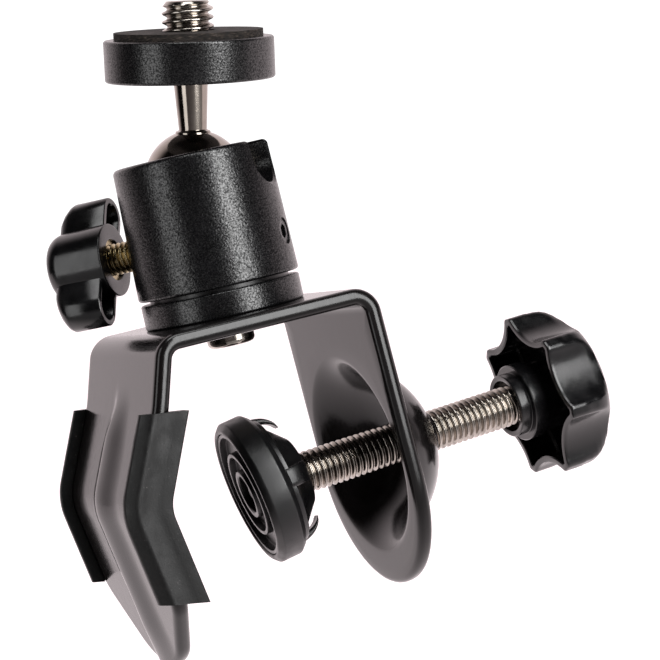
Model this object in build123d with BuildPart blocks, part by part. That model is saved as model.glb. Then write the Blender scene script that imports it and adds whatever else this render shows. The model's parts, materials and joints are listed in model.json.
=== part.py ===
from build123d import *
import os
from math import asin, cos, pi, radians, sin, sqrt, tan

# Screw clamp with a mini ball head, for holding a camera or a small lamp on a tube or shelf.
#
# Units are millimetres. Z points up. The origin is on the head's turning axis, at the inner face
# of the clamp's bridge, which is the deepest point of the clamp's mouth. X runs from the fixed jaw
# towards the screw knob, and Y runs across the width of the clamp.

os.makedirs("parts", exist_ok=True)

# ---- Driving dimensions: the clamp ---------------------------------------------------------
plate = 3.0                 # sheet thickness of the bent frame
width = 43.0                # frame width, along Y
bend = 5.0                  # outer radius of the bends beside the bridge
leg_x = 21.9                # outer face of the screw leg, at the top of the bridge
leg_splay = 2.3             # lean of the screw leg, in degrees
leg_low = 58.4              # length of the screw leg below the top of the bridge
jaw_points = [(-20.6, 0.0), (-24.3, -12.0), (-31.7, -28.5), (-25.94, -61.5)]
jaw_bends = [bend, 16.0, 10.0]   # outer radii at the bridge, the shoulder and the jaw's hollow
screw_drop = 32.4           # screw axis below the top of the bridge, at the screw leg
dome_r = 19.0               # outer radius of the pressed dome round the screw
dome_back = 6.0             # its centre, behind the screw leg's datum
dome_wall = 2.4
collar_end = 13.2           # end of the threaded collar, from the datum
screw_r = 4.0               # M8 clamp screw
running = 0.05              # radial clearance of shafts in their bores
strip_top = 12.4            # top and bottom of the rubber strips, below the top of the bridge
strip_low = 46.2
base_screw_r = 2.5          # M5

# ---- Driving dimensions: the pad and the clamp knob -----------------------------------------
pad_s = -20.6               # centre of the swivel ball, along the screw axis
pad_r = 14.2
pad_lean = (-7.7, -5.8)      # lean of the pad at rest, about Y and Z, in degrees
knob_lobes = 7
knob_r = 16.5
knob_rim = 36.7             # open rim of the knob, along the screw axis
knob_end = 48.0
knob_turn = -3.9            # turn of the first lobe from straight up, in degrees

# ---- Driving dimensions: the ball head -------------------------------------------------------
seat_z = plate              # the head stands on the top of the bridge
disc_r = 15.05
disc_h = 4.7
shell_z = seat_z + 5.4      # the lower rim of the turning shell
shell_top = seat_z + 30.3
shell_r = (15.25, 14.65)    # shell radius at the bottom and at the top
bore_r = 10.85
ball_z = seat_z + 25.35
ball_r = 9.5
notch_angle = -40.0         # the side notch, in degrees from +X
notch_w = 10.0
notch_low = seat_z + 22.1
lean_forward = 12.0         # lean of the stem at rest: towards the notch, and to its side
lean_side = 3.73
lock_z = seat_z + 14.2      # the lock screw, opposite the notch
lock_r = 3.0                # M6
grub_z = seat_z + 12.8
plate_h = 18.75             # underside of the camera plate, above the ball's centre
plate_top = 26.4
plate_r = 15.69
pad_top = 27.7
facing_r = 13.75            # the rubber facing on the camera plate
stud_top = 33.1
stud_r = 4.7625             # 3/8 inch camera thread
stud_root = 4.2             # the stud's press-fitted root in the plate

# ---- Axes and planes -------------------------------------------------------------------------
up = Vector(0, 0, 1)
screw_dir = Vector(cos(radians(leg_splay)), 0, sin(radians(leg_splay)))
screw_at = Vector(22.0, 0, seat_z - screw_drop)
screw_axis = Axis(screw_at, screw_dir)
notch_dir = Vector(cos(radians(notch_angle)), sin(radians(notch_angle)), 0)
lock_dir = notch_dir * -1
cross_dir = up.cross(notch_dir)
ball_at = Vector(0, 0, ball_z)
stem_dir = up.rotate(Axis((0, 0, 0), cross_dir), lean_forward)
stem_dir = stem_dir.rotate(Axis((0, 0, 0), notch_dir), lean_side)
pad_at = screw_at + screw_dir * pad_s
pad_dir = (screw_dir * -1).rotate(Axis((0, 0, 0), (0, 1, 0)), pad_lean[0])
pad_dir = pad_dir.rotate(Axis((0, 0, 0), (0, 0, 1)), pad_lean[1])


def axial(origin, direction):
    """A plane through an axis: its X runs along the axis and its Y is the radius."""
    along = direction.normalized()
    radial = along.cross(Vector(0, 1, 0)).normalized()
    return Plane(origin=origin, x_dir=along, z_dir=along.cross(radial))


def across(origin, direction, distance=0.0):
    """A plane square to an axis, a distance along it, with its X as near to up as it goes."""
    along = direction.normalized()
    side = along.cross(up) if abs(along.Z) < 0.9 else along.cross(Vector(1, 0, 0))
    return Plane(origin=origin + along * distance, x_dir=side.cross(along), z_dir=along)


def outline(plane, *points):
    """A straight-sided face on a plane."""
    with BuildSketch(plane) as sketch:
        with BuildLine():
            Polyline(*points, close=True)
        make_face()
    return sketch.sketch


def finish(part, name):
    """Label a finished piece and write it."""
    part.label = name
    export_step(part, f"parts/{name}.step")


screw_plane = axial(screw_at, screw_dir)
head_plane = axial(Vector(0, 0, 0), up)
head_axis = Axis.Z
stem_plane = axial(ball_at, stem_dir)
stem_axis = Axis(ball_at, stem_dir)
lock_at = Vector(0, 0, lock_z)
lock_plane = axial(lock_at, lock_dir)
lock_axis = Axis(lock_at, lock_dir)
grub_at = Vector(0, 0, grub_z)
grub_plane = axial(grub_at, notch_dir)
grub_axis = Axis(grub_at, notch_dir)
pad_plane = axial(pad_at, pad_dir)
pad_axis = Axis(pad_at, pad_dir)

# ---- The bent frame --------------------------------------------------------------------------
leg_lean = tan(radians(leg_splay))
frame_path = [(leg_x + leg_lean * (leg_low + 2), plate - leg_low - 2), (leg_x, plate)]
frame_path += [(x, z + plate) for x, z in jaw_points]
leg_face = (leg_x + leg_lean * screw_drop - screw_at.X) * cos(radians(leg_splay))
leg_inner = leg_face - plate
outline_r = width / 2
leg_centre = plate - leg_low + outline_r
jaw_taper = plate - 46.3    # where the fixed jaw starts to narrow
jaw_tip = plate - 60.4
bead_points = [(-23.6, -8.5), (-24.3, -12.0), (-31.7, -28.5), (-26.2, -59.5)]
bead_w = 5.6
bead_h = 1.2

with BuildPart() as frame_sheet:
    with BuildSketch(Plane.XZ):
        with BuildLine() as sheet_line:
            FilletPolyline(*frame_path, radius=[bend] + jaw_bends)
            offset(amount=plate, side=Side.LEFT)
        make_face()
    extrude(amount=width / 2, both=True)
    # the screw leg ends in a half circle
    with BuildSketch(Plane.YZ.offset(leg_x - 8)):
        with Locations((0, leg_centre - 20)):
            Rectangle(width + 10, 40)
        with Locations((0, leg_centre)):
            Circle(outline_r, mode=Mode.SUBTRACT)
    extrude(amount=30, mode=Mode.SUBTRACT)
    # the fixed jaw narrows to a rounded tip
    with BuildSketch(Plane.YZ.offset(-40)):
        with Locations((0, jaw_taper - 15)):
            Rectangle(width + 10, 34)
        with BuildSketch(mode=Mode.SUBTRACT):
            with BuildLine():
                Polyline(
                    (-outline_r, jaw_taper + 5), (-outline_r, jaw_taper), (-7.0, jaw_tip),
                    (7.0, jaw_tip), (outline_r, jaw_taper), (outline_r, jaw_taper + 5), close=True,
                )
            tip_face = make_face()
            fillet(tip_face.vertices().group_by(Axis.Y)[0], radius=14)
            fillet(tip_face.vertices().group_by(Axis.Y)[-2], radius=9)
    extrude(amount=25, mode=Mode.SUBTRACT)

dome_in = dome_r - dome_wall
collar_r = 5.0
bore = screw_r + running
face_r = sqrt(dome_r ** 2 - (leg_face + dome_back) ** 2)
inner_r = sqrt(dome_in ** 2 - (leg_inner + dome_back) ** 2)
collar_s = sqrt(dome_r ** 2 - collar_r ** 2) - dome_back
inside_s = sqrt(dome_in ** 2 - bore ** 2) - dome_back


def on_dome(radius, start, end):
    """The middle point of the dome's arc between two distances along the screw axis."""
    first = asin((start + dome_back) / radius)
    last = asin((end + dome_back) / radius)
    middle = (first + last) / 2
    return (radius * sin(middle) - dome_back, radius * cos(middle))


with BuildPart() as clamp_frame:
    add(frame_sheet.part)
    rim_edges = clamp_frame.edges().filter_by(lambda e: e.length > plate + 0.6)
    rim_edges = rim_edges.filter_by(Axis.Y, reverse=True)
    fillet(rim_edges, radius=0.7)
    # the pressed dome and its threaded collar
    with BuildSketch(across(screw_at, screw_dir, leg_inner - 1)):
        Circle(inner_r + 0.4)
    extrude(amount=plate + 2, mode=Mode.SUBTRACT)
    with BuildSketch(screw_plane):
        with BuildLine():
            Polyline(
                (leg_face, face_r), (leg_face, face_r + 0.8), (leg_inner, face_r + 0.8), (leg_inner, inner_r)
            )
            ThreePointArc((leg_inner, inner_r), on_dome(dome_in, leg_inner, inside_s), (inside_s, bore))
            Polyline((inside_s, bore), (collar_end, bore), (collar_end, collar_r), (collar_s, collar_r))
            ThreePointArc((collar_s, collar_r), on_dome(dome_r, leg_face, collar_s), (leg_face, face_r))
        make_face()
    revolve(axis=screw_axis)
    # the stiffening bead down the fixed jaw
    with BuildLine() as bead_line:
        bead_spine = FilletPolyline(
            *[(x + 0.2, 0, z + plate) for x, z in bead_points], radius=[jaw_bends[1], jaw_bends[2]]
        )
    with BuildSketch(Plane(origin=bead_line.line @ 0, x_dir=(0, -1, 0), z_dir=bead_line.line % 0)):
        with BuildLine():
            ThreePointArc((-bead_w / 2, 0), (0, bead_h + 0.2), (bead_w / 2, 0))
            Polyline((bead_w / 2, 0), (bead_w / 2, -0.8), (-bead_w / 2, -0.8), (-bead_w / 2, 0))
        make_face()
    sweep(path=bead_line.line)
    # the hole for the screw that holds the head
    with Locations((0, 0, plate)):
        Hole(radius=base_screw_r + 0.1, depth=plate + 1)
finish(clamp_frame.part, "clamp_frame")

# ---- The rubber strips on the fixed jaw ------------------------------------------------------
flap_out = 2.3
lip_in = 3.0
strip_side = 22.7
strip_inside = 19.3


def shifted(points, distance):
    """A polyline moved sideways by a distance: outwards from the jaw when it is positive."""
    normals = []
    for (x0, z0), (x1, z1) in zip(points, points[1:]):
        length = sqrt((x1 - x0) ** 2 + (z1 - z0) ** 2)
        normals.append(((z1 - z0) / length, (x0 - x1) / length))
    moved = []
    for index, (x, z) in enumerate(points):
        first = normals[max(index - 1, 0)]
        last = normals[min(index, len(normals) - 1)]
        scale = distance / (1 + first[0] * last[0] + first[1] * last[1])
        moved.append((x + (first[0] + last[0]) * scale, z + (first[1] + last[1]) * scale))
    return moved


slope = (jaw_points[2][0] - jaw_points[1][0]) / (jaw_points[2][1] - jaw_points[1][1])
strip_start = (jaw_points[1][0] + slope * 5, jaw_points[1][1] + plate + 5)
strip_path = [strip_start] + [(x, z + plate) for x, z in jaw_points[2:]]
strip_ends = [(-60, plate - strip_top + 5.5), (0, plate - strip_top - 4.5)]
strip_ends += [(0, plate - strip_low - 6.0), (-60, plate - strip_low + 6.4)]

with BuildSketch(Plane.XZ) as strip_outline:
    with BuildLine():
        FilletPolyline(*shifted(strip_path, flap_out), radius=jaw_bends[2] + flap_out)
        offset(amount=flap_out + plate + lip_in, side=Side.LEFT)
    make_face()
    with BuildSketch(mode=Mode.INTERSECT):
        with BuildLine():
            Polyline(*strip_ends, close=True)
        make_face()

with BuildPart() as jaw_strip_near:
    with BuildSketch(Plane.XZ.offset(strip_inside)):
        add(strip_outline.sketch.faces()[0].moved(Location((0, -strip_inside, 0))))
    extrude(amount=strip_side - strip_inside)
    add(frame_sheet.part, mode=Mode.SUBTRACT)
finish(jaw_strip_near.part, "jaw_strip_near")

with BuildPart() as jaw_strip_far:
    add(mirror(jaw_strip_near.part, about=Plane.XZ, mode=Mode.PRIVATE))
finish(jaw_strip_far.part, "jaw_strip_far")

# ---- The clamp screw and its swivel ----------------------------------------------------------
screw_tip = -15.6           # end of the full thread, along the screw axis
neck_r = 2.1
pin_r = 1.5
swivel_r = 3.2
swivel_back = pad_s + sqrt(swivel_r ** 2 - neck_r ** 2)
pin_end = pad_s - 2.2
screw_in_knob = 42.4

with BuildPart() as clamp_screw:
    screw_outline = outline(
        screw_plane, (pin_end, 0), (pin_end, pin_r), (swivel_back + 0.1, pin_r),
        (swivel_back + 0.1, neck_r), (screw_tip - 0.9, neck_r), (screw_tip - 0.9, screw_r - 0.9),
        (screw_tip, screw_r), (screw_in_knob, screw_r), (screw_in_knob, 0),
    )
    revolve(screw_outline, axis=screw_axis)
finish(clamp_screw.part, "clamp_screw")

with BuildPart() as tip_ball:
    with BuildSketch(screw_plane):
        with Locations((pad_s, 0)):
            Circle(swivel_r)
        with Locations((pad_s, -swivel_r)):
            Rectangle(4 * swivel_r, 2 * swivel_r, mode=Mode.SUBTRACT)
        with Locations((pad_s, 0)):
            Rectangle(4 * swivel_r, 2 * (pin_r + running), mode=Mode.SUBTRACT)
        with Locations((swivel_back, 0)):
            Rectangle(2, 3 * swivel_r, align=(Align.MIN, Align.CENTER), mode=Mode.SUBTRACT)
    revolve(axis=screw_axis)
finish(tip_ball.part, "tip_ball")

# ---- The pressure pad: its axis points at the fixed jaw, from the swivel ball's centre --------
race_in = swivel_r + 0.15
race_out = 4.4
pocket_r = 4.55
race_back = -1.9            # the race holds the ball past its middle
pocket_back = -2.6
pad_face = 5.3
rim_back = -0.6
disc_out = 12.6
face_floor = 4.6
tyre_lip = 11.9
eye_r = 2.0                 # hole in the middle of the pad's face

with BuildPart() as pad_race:
    with BuildSketch(pad_plane):
        Circle(race_out)
        Circle(race_in, mode=Mode.SUBTRACT)
        with Locations((0, -race_out)):
            Rectangle(4 * race_out, 2 * race_out, mode=Mode.SUBTRACT)
        with Locations((race_back, 0)):
            Rectangle(3 * race_out, 3 * race_out, align=(Align.MAX, Align.CENTER), mode=Mode.SUBTRACT)
    revolve(axis=pad_axis)
finish(pad_race.part, "pad_race")

with BuildPart() as pad_disc:
    with BuildSketch(pad_plane):
        with Locations((rim_back, 0)):
            Rectangle(face_floor - rim_back, disc_out, align=(Align.MIN, Align.MIN))
        Circle(pocket_r, mode=Mode.SUBTRACT)
        with Locations((rim_back, 0)):
            Rectangle(3.2, disc_out - 2.0, align=(Align.MIN, Align.MIN), mode=Mode.SUBTRACT)
        with Locations((rim_back, 0)):
            Rectangle(face_floor - rim_back, eye_r, align=(Align.MIN, Align.MIN), mode=Mode.SUBTRACT)
        # three raised rings on the face, round the middle hole
        for ring_r in (3.0, 5.8, 8.6):
            with Locations((face_floor, ring_r)):
                Rectangle(0.7, 0.8, align=(Align.MIN, Align.CENTER))
        # the socket's wall behind the face
        with Locations((rim_back + 3.2, 0)):
            Rectangle(2.8, 6.2, align=(Align.MAX, Align.MIN))
        Circle(pocket_r, mode=Mode.SUBTRACT)
    revolve(axis=pad_axis)
finish(pad_disc.part, "pad_disc")

with BuildPart() as pad_tyre:
    tyre_outline = outline(
        pad_plane, (rim_back, disc_out), (rim_back, pad_r - 0.6), (rim_back + 0.6, pad_r),
        (pad_face - 0.6, pad_r), (pad_face, pad_r - 0.6), (pad_face, tyre_lip),
        (face_floor, tyre_lip), (face_floor, disc_out),
    )
    revolve(tyre_outline, axis=pad_axis)
finish(pad_tyre.part, "pad_tyre")

retainer_back = -6.0
retainer_flange = 12.4
finger_count = 4
with BuildPart() as pad_retainer:
    with BuildSketch(pad_plane):
        with BuildLine():
            Polyline(
                (rim_back, 6.4), (rim_back, retainer_flange), (rim_back - 1.2, retainer_flange),
                (rim_back - 1.4, 10.6), (retainer_back, 6.9), (retainer_back, 5.8), (-4.3, 5.6), (-3.0, 3.6),
                (-1.0, 3.6), (-1.0, 6.4), close=True,
            )
        make_face()
        Circle(pocket_r, mode=Mode.SUBTRACT)
    revolve(axis=pad_axis)
    with BuildSketch(across(pad_at, pad_dir, rim_back - 4.0)):
        with PolarLocations(radius=11.4, count=finger_count, start_angle=30):
            Rectangle(1.4, 3.6)
    extrude(amount=3.2)
finish(pad_retainer.part, "pad_retainer")

# ---- The clamp knob ---------------------------------------------------------------------------
lobe_flat = 3.5             # width of each lobe's tip
scallop_r = 9.6
knob_wall = 1.3
web_s = 43.6                # floor of the knob's hollow
hub_front = 31.3
hub_r = 6.3
flange_r = 7.7
flange_s = 33.6
flange_h = 3.0
insert_front = 33.8
crown_flat = 9.9            # radius of the knob's flat end
crown_round = 6.9
crown_s = knob_end - crown_round
insert_r = 5.2


def knob_star(plane, radius, scallop):
    """The knob's section: a disc with one round scallop between each two lobes."""
    valley = radius * cos(pi / knob_lobes)
    half_chord = radius * sin(pi / knob_lobes) - lobe_flat / 2
    scallop_at = valley + sqrt(max(scallop ** 2 - half_chord ** 2, 0.0))
    with BuildSketch(plane) as star:
        Circle(radius)
        with PolarLocations(scallop_at, knob_lobes, start_angle=180 / knob_lobes + knob_turn):
            Circle(scallop, mode=Mode.SUBTRACT)
    return star.sketch


with BuildPart() as clamp_knob:
    rim_plane = across(screw_at, screw_dir, knob_rim)
    extrude(knob_star(rim_plane, knob_r, scallop_r), amount=knob_end - knob_rim)
    with BuildSketch(screw_plane):
        with Locations((knob_rim, 0)):
            Rectangle(crown_s - knob_rim, knob_r + 1, align=(Align.MIN, Align.MIN))
        with Locations((crown_s, 0)):
            Rectangle(crown_round, crown_flat, align=(Align.MIN, Align.MIN))
        with Locations((crown_s, crown_flat)):
            Circle(crown_round)
        with Locations((crown_s, 0)):
            Rectangle(4 * knob_r, 2 * knob_r, align=(Align.CENTER, Align.MAX), mode=Mode.SUBTRACT)
    revolve(axis=screw_axis, mode=Mode.INTERSECT)
    hollow = knob_star(rim_plane, knob_r - knob_wall, scallop_r + knob_wall)
    extrude(hollow, amount=web_s - knob_rim, mode=Mode.SUBTRACT)
    hub = outline(
        screw_plane, (hub_front, insert_r), (hub_front, hub_r), (flange_s, hub_r), (flange_s, flange_r),
        (flange_s + flange_h, flange_r), (flange_s + flange_h, hub_r + 0.6), (web_s + 1, hub_r + 0.6),
        (web_s + 1, 0), (screw_in_knob, 0), (screw_in_knob, insert_r),
    )
    revolve(hub, axis=screw_axis)
finish(clamp_knob.part, "clamp_knob")

with BuildPart() as knob_insert:
    insert_outline = outline(
        screw_plane, (insert_front, screw_r), (insert_front, insert_r), (screw_in_knob, insert_r),
        (screw_in_knob, screw_r),
    )
    revolve(insert_outline, axis=screw_axis)
finish(knob_insert.part, "knob_insert")

# ---- The base of the ball head ----------------------------------------------------------------
spigot_r = 5.0
groove_r = 4.5
ring_z = seat_z + 8.7
ring_h = 0.6
spigot_top = seat_z + 10.0
screw_top = seat_z + 8.0

with BuildPart() as base_disc:
    base_outline = outline(
        head_plane, (seat_z, base_screw_r), (seat_z, disc_r), (seat_z + disc_h, disc_r),
        (seat_z + disc_h, spigot_r), (ring_z, spigot_r), (ring_z, groove_r), (ring_z + ring_h, groove_r),
        (ring_z + ring_h, spigot_r), (spigot_top, spigot_r), (spigot_top, 0), (screw_top, 0),
        (screw_top, base_screw_r),
    )
    revolve(base_outline, axis=head_axis)
    disc_rims = base_disc.edges().filter_by(GeomType.CIRCLE).filter_by(lambda e: e.radius > disc_r - 0.1)
    fillet(disc_rims, radius=0.4)
finish(base_disc.part, "base_disc")

washer_h = 0.8
washer_r = 6.5
screw_head_r = 4.5
head_low = -washer_h - 2.2
with BuildPart() as base_washer:
    with BuildSketch(Plane.XY.offset(-washer_h)):
        Circle(washer_r)
        Circle(base_screw_r + 0.2, mode=Mode.SUBTRACT)
    extrude(amount=washer_h)
    fillet(base_washer.edges().group_by(Axis.Z)[0].sort_by(SortBy.RADIUS)[-1], radius=0.25)
finish(base_washer.part, "base_washer")

with BuildPart() as base_screw:
    with BuildSketch(Plane.XY.offset(head_low)):
        Circle(screw_head_r)
    extrude(amount=-head_low - washer_h)
    fillet(base_screw.edges().group_by(Axis.Z)[0], radius=1.0)
    with BuildSketch(Plane.XY.offset(-washer_h)):
        Circle(base_screw_r)
    extrude(amount=washer_h + screw_top)
    with BuildSketch(Plane.XY.offset(head_low)):
        Rectangle(5.0, 1.0)
        Rectangle(1.0, 5.0)
    extrude(amount=1.3, mode=Mode.SUBTRACT)
finish(base_screw.part, "base_screw")

pan_gap = 0.05
pan_washer_r = 13.2
with BuildPart() as pan_washer:
    with BuildSketch(Plane.XY.offset(seat_z + disc_h)):
        Circle(pan_washer_r)
        Circle(spigot_r + 0.1, mode=Mode.SUBTRACT)
    extrude(amount=shell_z - pan_gap - seat_z - disc_h)
finish(pan_washer.part, "pan_washer")

retaining_ring_r = 7.0
with BuildPart() as retaining_ring:
    with BuildSketch(Plane.XY.offset(ring_z)):
        Circle(retaining_ring_r)
        Circle(groove_r, mode=Mode.SUBTRACT)
        with Locations((6, 0)):
            Rectangle(6, 3, mode=Mode.SUBTRACT)
    extrude(amount=ring_h)
finish(retaining_ring.part, "retaining_ring")

# ---- The turning shell and what it holds -------------------------------------------------------
liner_out = 10.7
lip_r = ball_r + 0.25       # the shell's lip follows the ball
lip_low = 3.2               # from the ball's centre
grub_r = 2.5
plug_top = shell_z + 3.2


def on_notch(point):
    """Whether an edge's middle point is where the notch breaks the shell's outer wall."""
    reach = sqrt(point.X ** 2 + point.Y ** 2)
    beside = abs(point.dot(cross_dir))
    ahead = point.dot(notch_dir)
    on_wall = reach > shell_r[1] - 0.1 and point.Z < shell_top - 1.2
    return ahead > 10 and beside < notch_w / 2 + 0.1 and on_wall


with BuildPart() as head_shell:
    lip_high = shell_top - ball_z
    step_r = sqrt(bore_r ** 2 - lip_low ** 2)
    with BuildSketch(head_plane):
        with BuildLine():
            Polyline(
                (shell_z, bore_r), (shell_z, shell_r[0]), (shell_top, shell_r[1]),
                (shell_top, sqrt(lip_r ** 2 - lip_high ** 2)),
            )
            ThreePointArc(
                (shell_top, sqrt(lip_r ** 2 - lip_high ** 2)),
                (ball_z + 4.1, sqrt(lip_r ** 2 - 4.1 ** 2)),
                (ball_z + lip_low, sqrt(lip_r ** 2 - lip_low ** 2)),
            )
            Line((ball_z + lip_low, sqrt(lip_r ** 2 - lip_low ** 2)), (ball_z + lip_low, step_r))
            ThreePointArc(
                (ball_z + lip_low, step_r), (ball_z + lip_low / 2, sqrt(bore_r ** 2 - lip_low ** 2 / 4)),
                (ball_z, bore_r),
            )
            Line((ball_z, bore_r), (shell_z, bore_r))
        make_face()
    revolve(axis=head_axis)
    round_edges = head_shell.edges().filter_by(GeomType.CIRCLE)
    outer_rims = round_edges.filter_by(lambda e: e.radius > shell_r[1] - 0.1)
    fillet(outer_rims.sort_by(Axis.Z)[-1], radius=1.0)
    fillet(outer_rims.sort_by(Axis.Z)[0], radius=0.5)
    # the side notch lets the stem lie down
    with BuildSketch(across(Vector(0, 0, notch_low + notch_w / 2), notch_dir)):
        Circle(notch_w / 2)
        Rectangle(20, notch_w, align=(Align.MIN, Align.CENTER))
    extrude(amount=20, mode=Mode.SUBTRACT)
    notch_edges = head_shell.edges().filter_by(lambda e: on_notch(e @ 0.5))
    chamfer(notch_edges, length=0.45)
    # the threaded holes for the lock screw and the grub screw
    with BuildSketch(across(lock_at, lock_dir)):
        Circle(lock_r + running)
    extrude(amount=20, mode=Mode.SUBTRACT)
    with BuildSketch(across(grub_at, notch_dir)):
        Circle(grub_r)
    extrude(amount=20, mode=Mode.SUBTRACT)
finish(head_shell.part, "head_shell")

with BuildPart() as bottom_plug:
    with BuildSketch(Plane.XY.offset(shell_z)):
        Circle(bore_r - 0.05)
        Circle(spigot_r + 0.06, mode=Mode.SUBTRACT)
        with PolarLocations(8.2, 2):
            Circle(0.9, mode=Mode.SUBTRACT)
    extrude(amount=plug_top - shell_z)
finish(bottom_plug.part, "bottom_plug")

seat_low = seat_z + 11.8
seat_high = seat_z + 19.6
with BuildPart() as pressure_seat:
    with BuildSketch(Plane.XY.offset(seat_low)):
        Circle(bore_r - 0.1)
    extrude(amount=seat_high - seat_low)
    with Locations(ball_at):
        Sphere(liner_out + 0.15, mode=Mode.SUBTRACT)
    with BuildSketch(Plane.XY.offset(seat_low)):
        Circle(3.0)
    extrude(amount=10, mode=Mode.SUBTRACT)
    # the ramp for the lock shoe, and the slot that the grub screw keeps from turning
    with BuildSketch(across(lock_at, lock_dir, 7.7)):
        Circle(2.7)
    extrude(amount=6, mode=Mode.SUBTRACT)
    with BuildSketch(across(Vector(0, 0, seat_low), notch_dir, 9.6)):
        Rectangle(7.0, 3.2)
    extrude(amount=6, mode=Mode.SUBTRACT)
finish(pressure_seat.part, "pressure_seat")

spring_wire = 0.8
spring_turns = 2.5
spring_low = plug_top + spring_wire / 2
spring_high = seat_low - spring_wire / 2
with BuildPart() as seat_spring:
    with BuildLine() as coil:
        Helix(pitch=(spring_high - spring_low) / spring_turns, height=spring_high - spring_low, radius=8.8,
              center=(0, 0, spring_low))
    with BuildSketch(Plane(origin=coil.line @ 0, z_dir=coil.line % 0)):
        Circle(spring_wire / 2 - 0.05)
    sweep(path=coil.line, is_frenet=True)
finish(seat_spring.part, "seat_spring")

grub_tip = 9.9              # both ends of the grub screw, from the head's axis
grub_end = 14.7
grub_nose = 1.4
with BuildPart() as grub_screw:
    grub_outline = outline(
        grub_plane, (grub_tip, 0), (grub_tip, grub_nose), (grub_tip + 1.3, grub_nose),
        (grub_tip + 1.3, grub_r - 0.4), (grub_tip + 1.7, grub_r), (grub_end, grub_r), (grub_end, 0),
    )
    revolve(grub_outline, axis=grub_axis)
    with BuildSketch(across(grub_at, notch_dir, grub_end)):
        RegularPolygon(1.25, 6, major_radius=False)
    extrude(amount=-2.0, mode=Mode.SUBTRACT)
finish(grub_screw.part, "grub_screw")

# ---- The lock screw and its wing knob -----------------------------------------------------------
shoe_r = 2.4
shoe_tip = 7.9              # the shoe's nose, from the head's axis
lock_tip = 10.65            # the lock screw's end, which pushes the shoe
wing_face = 19.3            # end of the wing knob's boss, from the head's axis
wing_end = 31.6
boss_r = 7.0
wing_near = 20.3
wing_far = 29.8
wing_reach = 13.5
wing_lean = 36.5            # turn of the wings from upright at rest, in degrees
wing_tip_r = 3.4
wing_insert_r = 3.9

with BuildPart() as lock_shoe:
    shoe_outline = outline(
        lock_plane, (shoe_tip, 0), (shoe_tip, 1.0), (shoe_tip + 1.0, shoe_r),
        (lock_tip - running, shoe_r), (lock_tip - running, 0),
    )
    revolve(shoe_outline, axis=lock_axis)
finish(lock_shoe.part, "lock_shoe")

with BuildPart() as lock_screw:
    lock_outline = outline(
        lock_plane, (lock_tip, 0), (lock_tip, lock_r - 0.6), (lock_tip + 0.6, lock_r),
        (wing_far - 1, lock_r), (wing_far - 1, 0),
    )
    revolve(lock_outline, axis=lock_axis)
finish(lock_screw.part, "lock_screw")

with BuildPart() as wing_knob:
    wing_plane = across(lock_at, lock_dir, wing_near)
    with BuildSketch(wing_plane):
        Circle(boss_r - 0.6)
        with PolarLocations(wing_reach / 2 + 1, 2, start_angle=wing_lean):
            SlotOverall(wing_reach - 2, 2 * wing_tip_r)
    extrude(amount=wing_far - wing_near)
    far_edges = wing_knob.edges().filter_by(
        lambda e: abs((e.center() - lock_at).dot(lock_dir) - wing_far) < 0.01
    )
    fillet(far_edges, radius=1.2)
    # hollows in the wings, open towards the shell
    with BuildSketch(wing_plane):
        with PolarLocations(wing_reach - wing_tip_r - 0.6, 2, start_angle=wing_lean):
            SlotOverall(2 * wing_tip_r - 1.2, 2 * wing_tip_r - 2.4)
    extrude(amount=wing_far - wing_near - 1.6, mode=Mode.SUBTRACT)
    boss = outline(
        lock_plane, (wing_face, 0), (wing_face, boss_r), (wing_end - 1.6, boss_r - 0.5),
        (wing_end - 0.5, boss_r - 1.6), (wing_end, boss_r - 3.4), (wing_end, 0),
    )
    revolve(boss, axis=lock_axis)
    with BuildSketch(across(lock_at, lock_dir, wing_face)):
        Circle(wing_insert_r)
    extrude(amount=wing_far - 1 - wing_face, mode=Mode.SUBTRACT)
finish(wing_knob.part, "wing_knob")

with BuildPart() as wing_insert:
    wing_insert_outline = outline(
        lock_plane, (wing_face + 0.6, lock_r), (wing_face + 0.6, wing_insert_r),
        (wing_far - 1, wing_insert_r), (wing_far - 1, lock_r),
    )
    revolve(wing_insert_outline, axis=lock_axis)
finish(wing_insert.part, "wing_insert")

# ---- The ball, its liner and the camera plate --------------------------------------------------
flat_h = 7.7                # the ball's flat top
stem_r = (2.4, 3.0)         # stem radius at the ball and at the camera plate
tenon_r = 3.0
tenon_h = 24.0
liner_low = -8.6            # the liner stays under the lip and under the lying stem
liner_high = -3.2

with BuildPart() as ball_liner:
    with BuildSketch(head_plane):
        with Locations((ball_z, 0)):
            Circle(liner_out)
            Circle(ball_r + 0.15, mode=Mode.SUBTRACT)
        with Locations((ball_z, -liner_out)):
            Rectangle(4 * liner_out, 2 * liner_out, mode=Mode.SUBTRACT)
        with Locations((ball_z + liner_low, 0)):
            Rectangle(20, 40, align=(Align.MAX, Align.CENTER), mode=Mode.SUBTRACT)
        with Locations((ball_z + liner_high, 0)):
            Rectangle(20, 40, align=(Align.MIN, Align.CENTER), mode=Mode.SUBTRACT)
    revolve(axis=head_axis)
finish(ball_liner.part, "ball_liner")

with BuildPart() as ball_stem:
    with Locations(ball_at):
        Sphere(ball_r)
    with BuildSketch(across(ball_at, stem_dir, flat_h)):
        Circle(ball_r)
    extrude(amount=4, mode=Mode.SUBTRACT)
    stem_outline = outline(
        stem_plane, (flat_h - 2, 0), (flat_h - 2, stem_r[0] + 0.5), (flat_h, stem_r[0] + 0.5),
        (flat_h + 0.5, stem_r[0]), (plate_h - 0.05, stem_r[1]), (tenon_h, tenon_r), (tenon_h, 0),
    )
    revolve(stem_outline, axis=stem_axis)
finish(ball_stem.part, "ball_stem")

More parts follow.
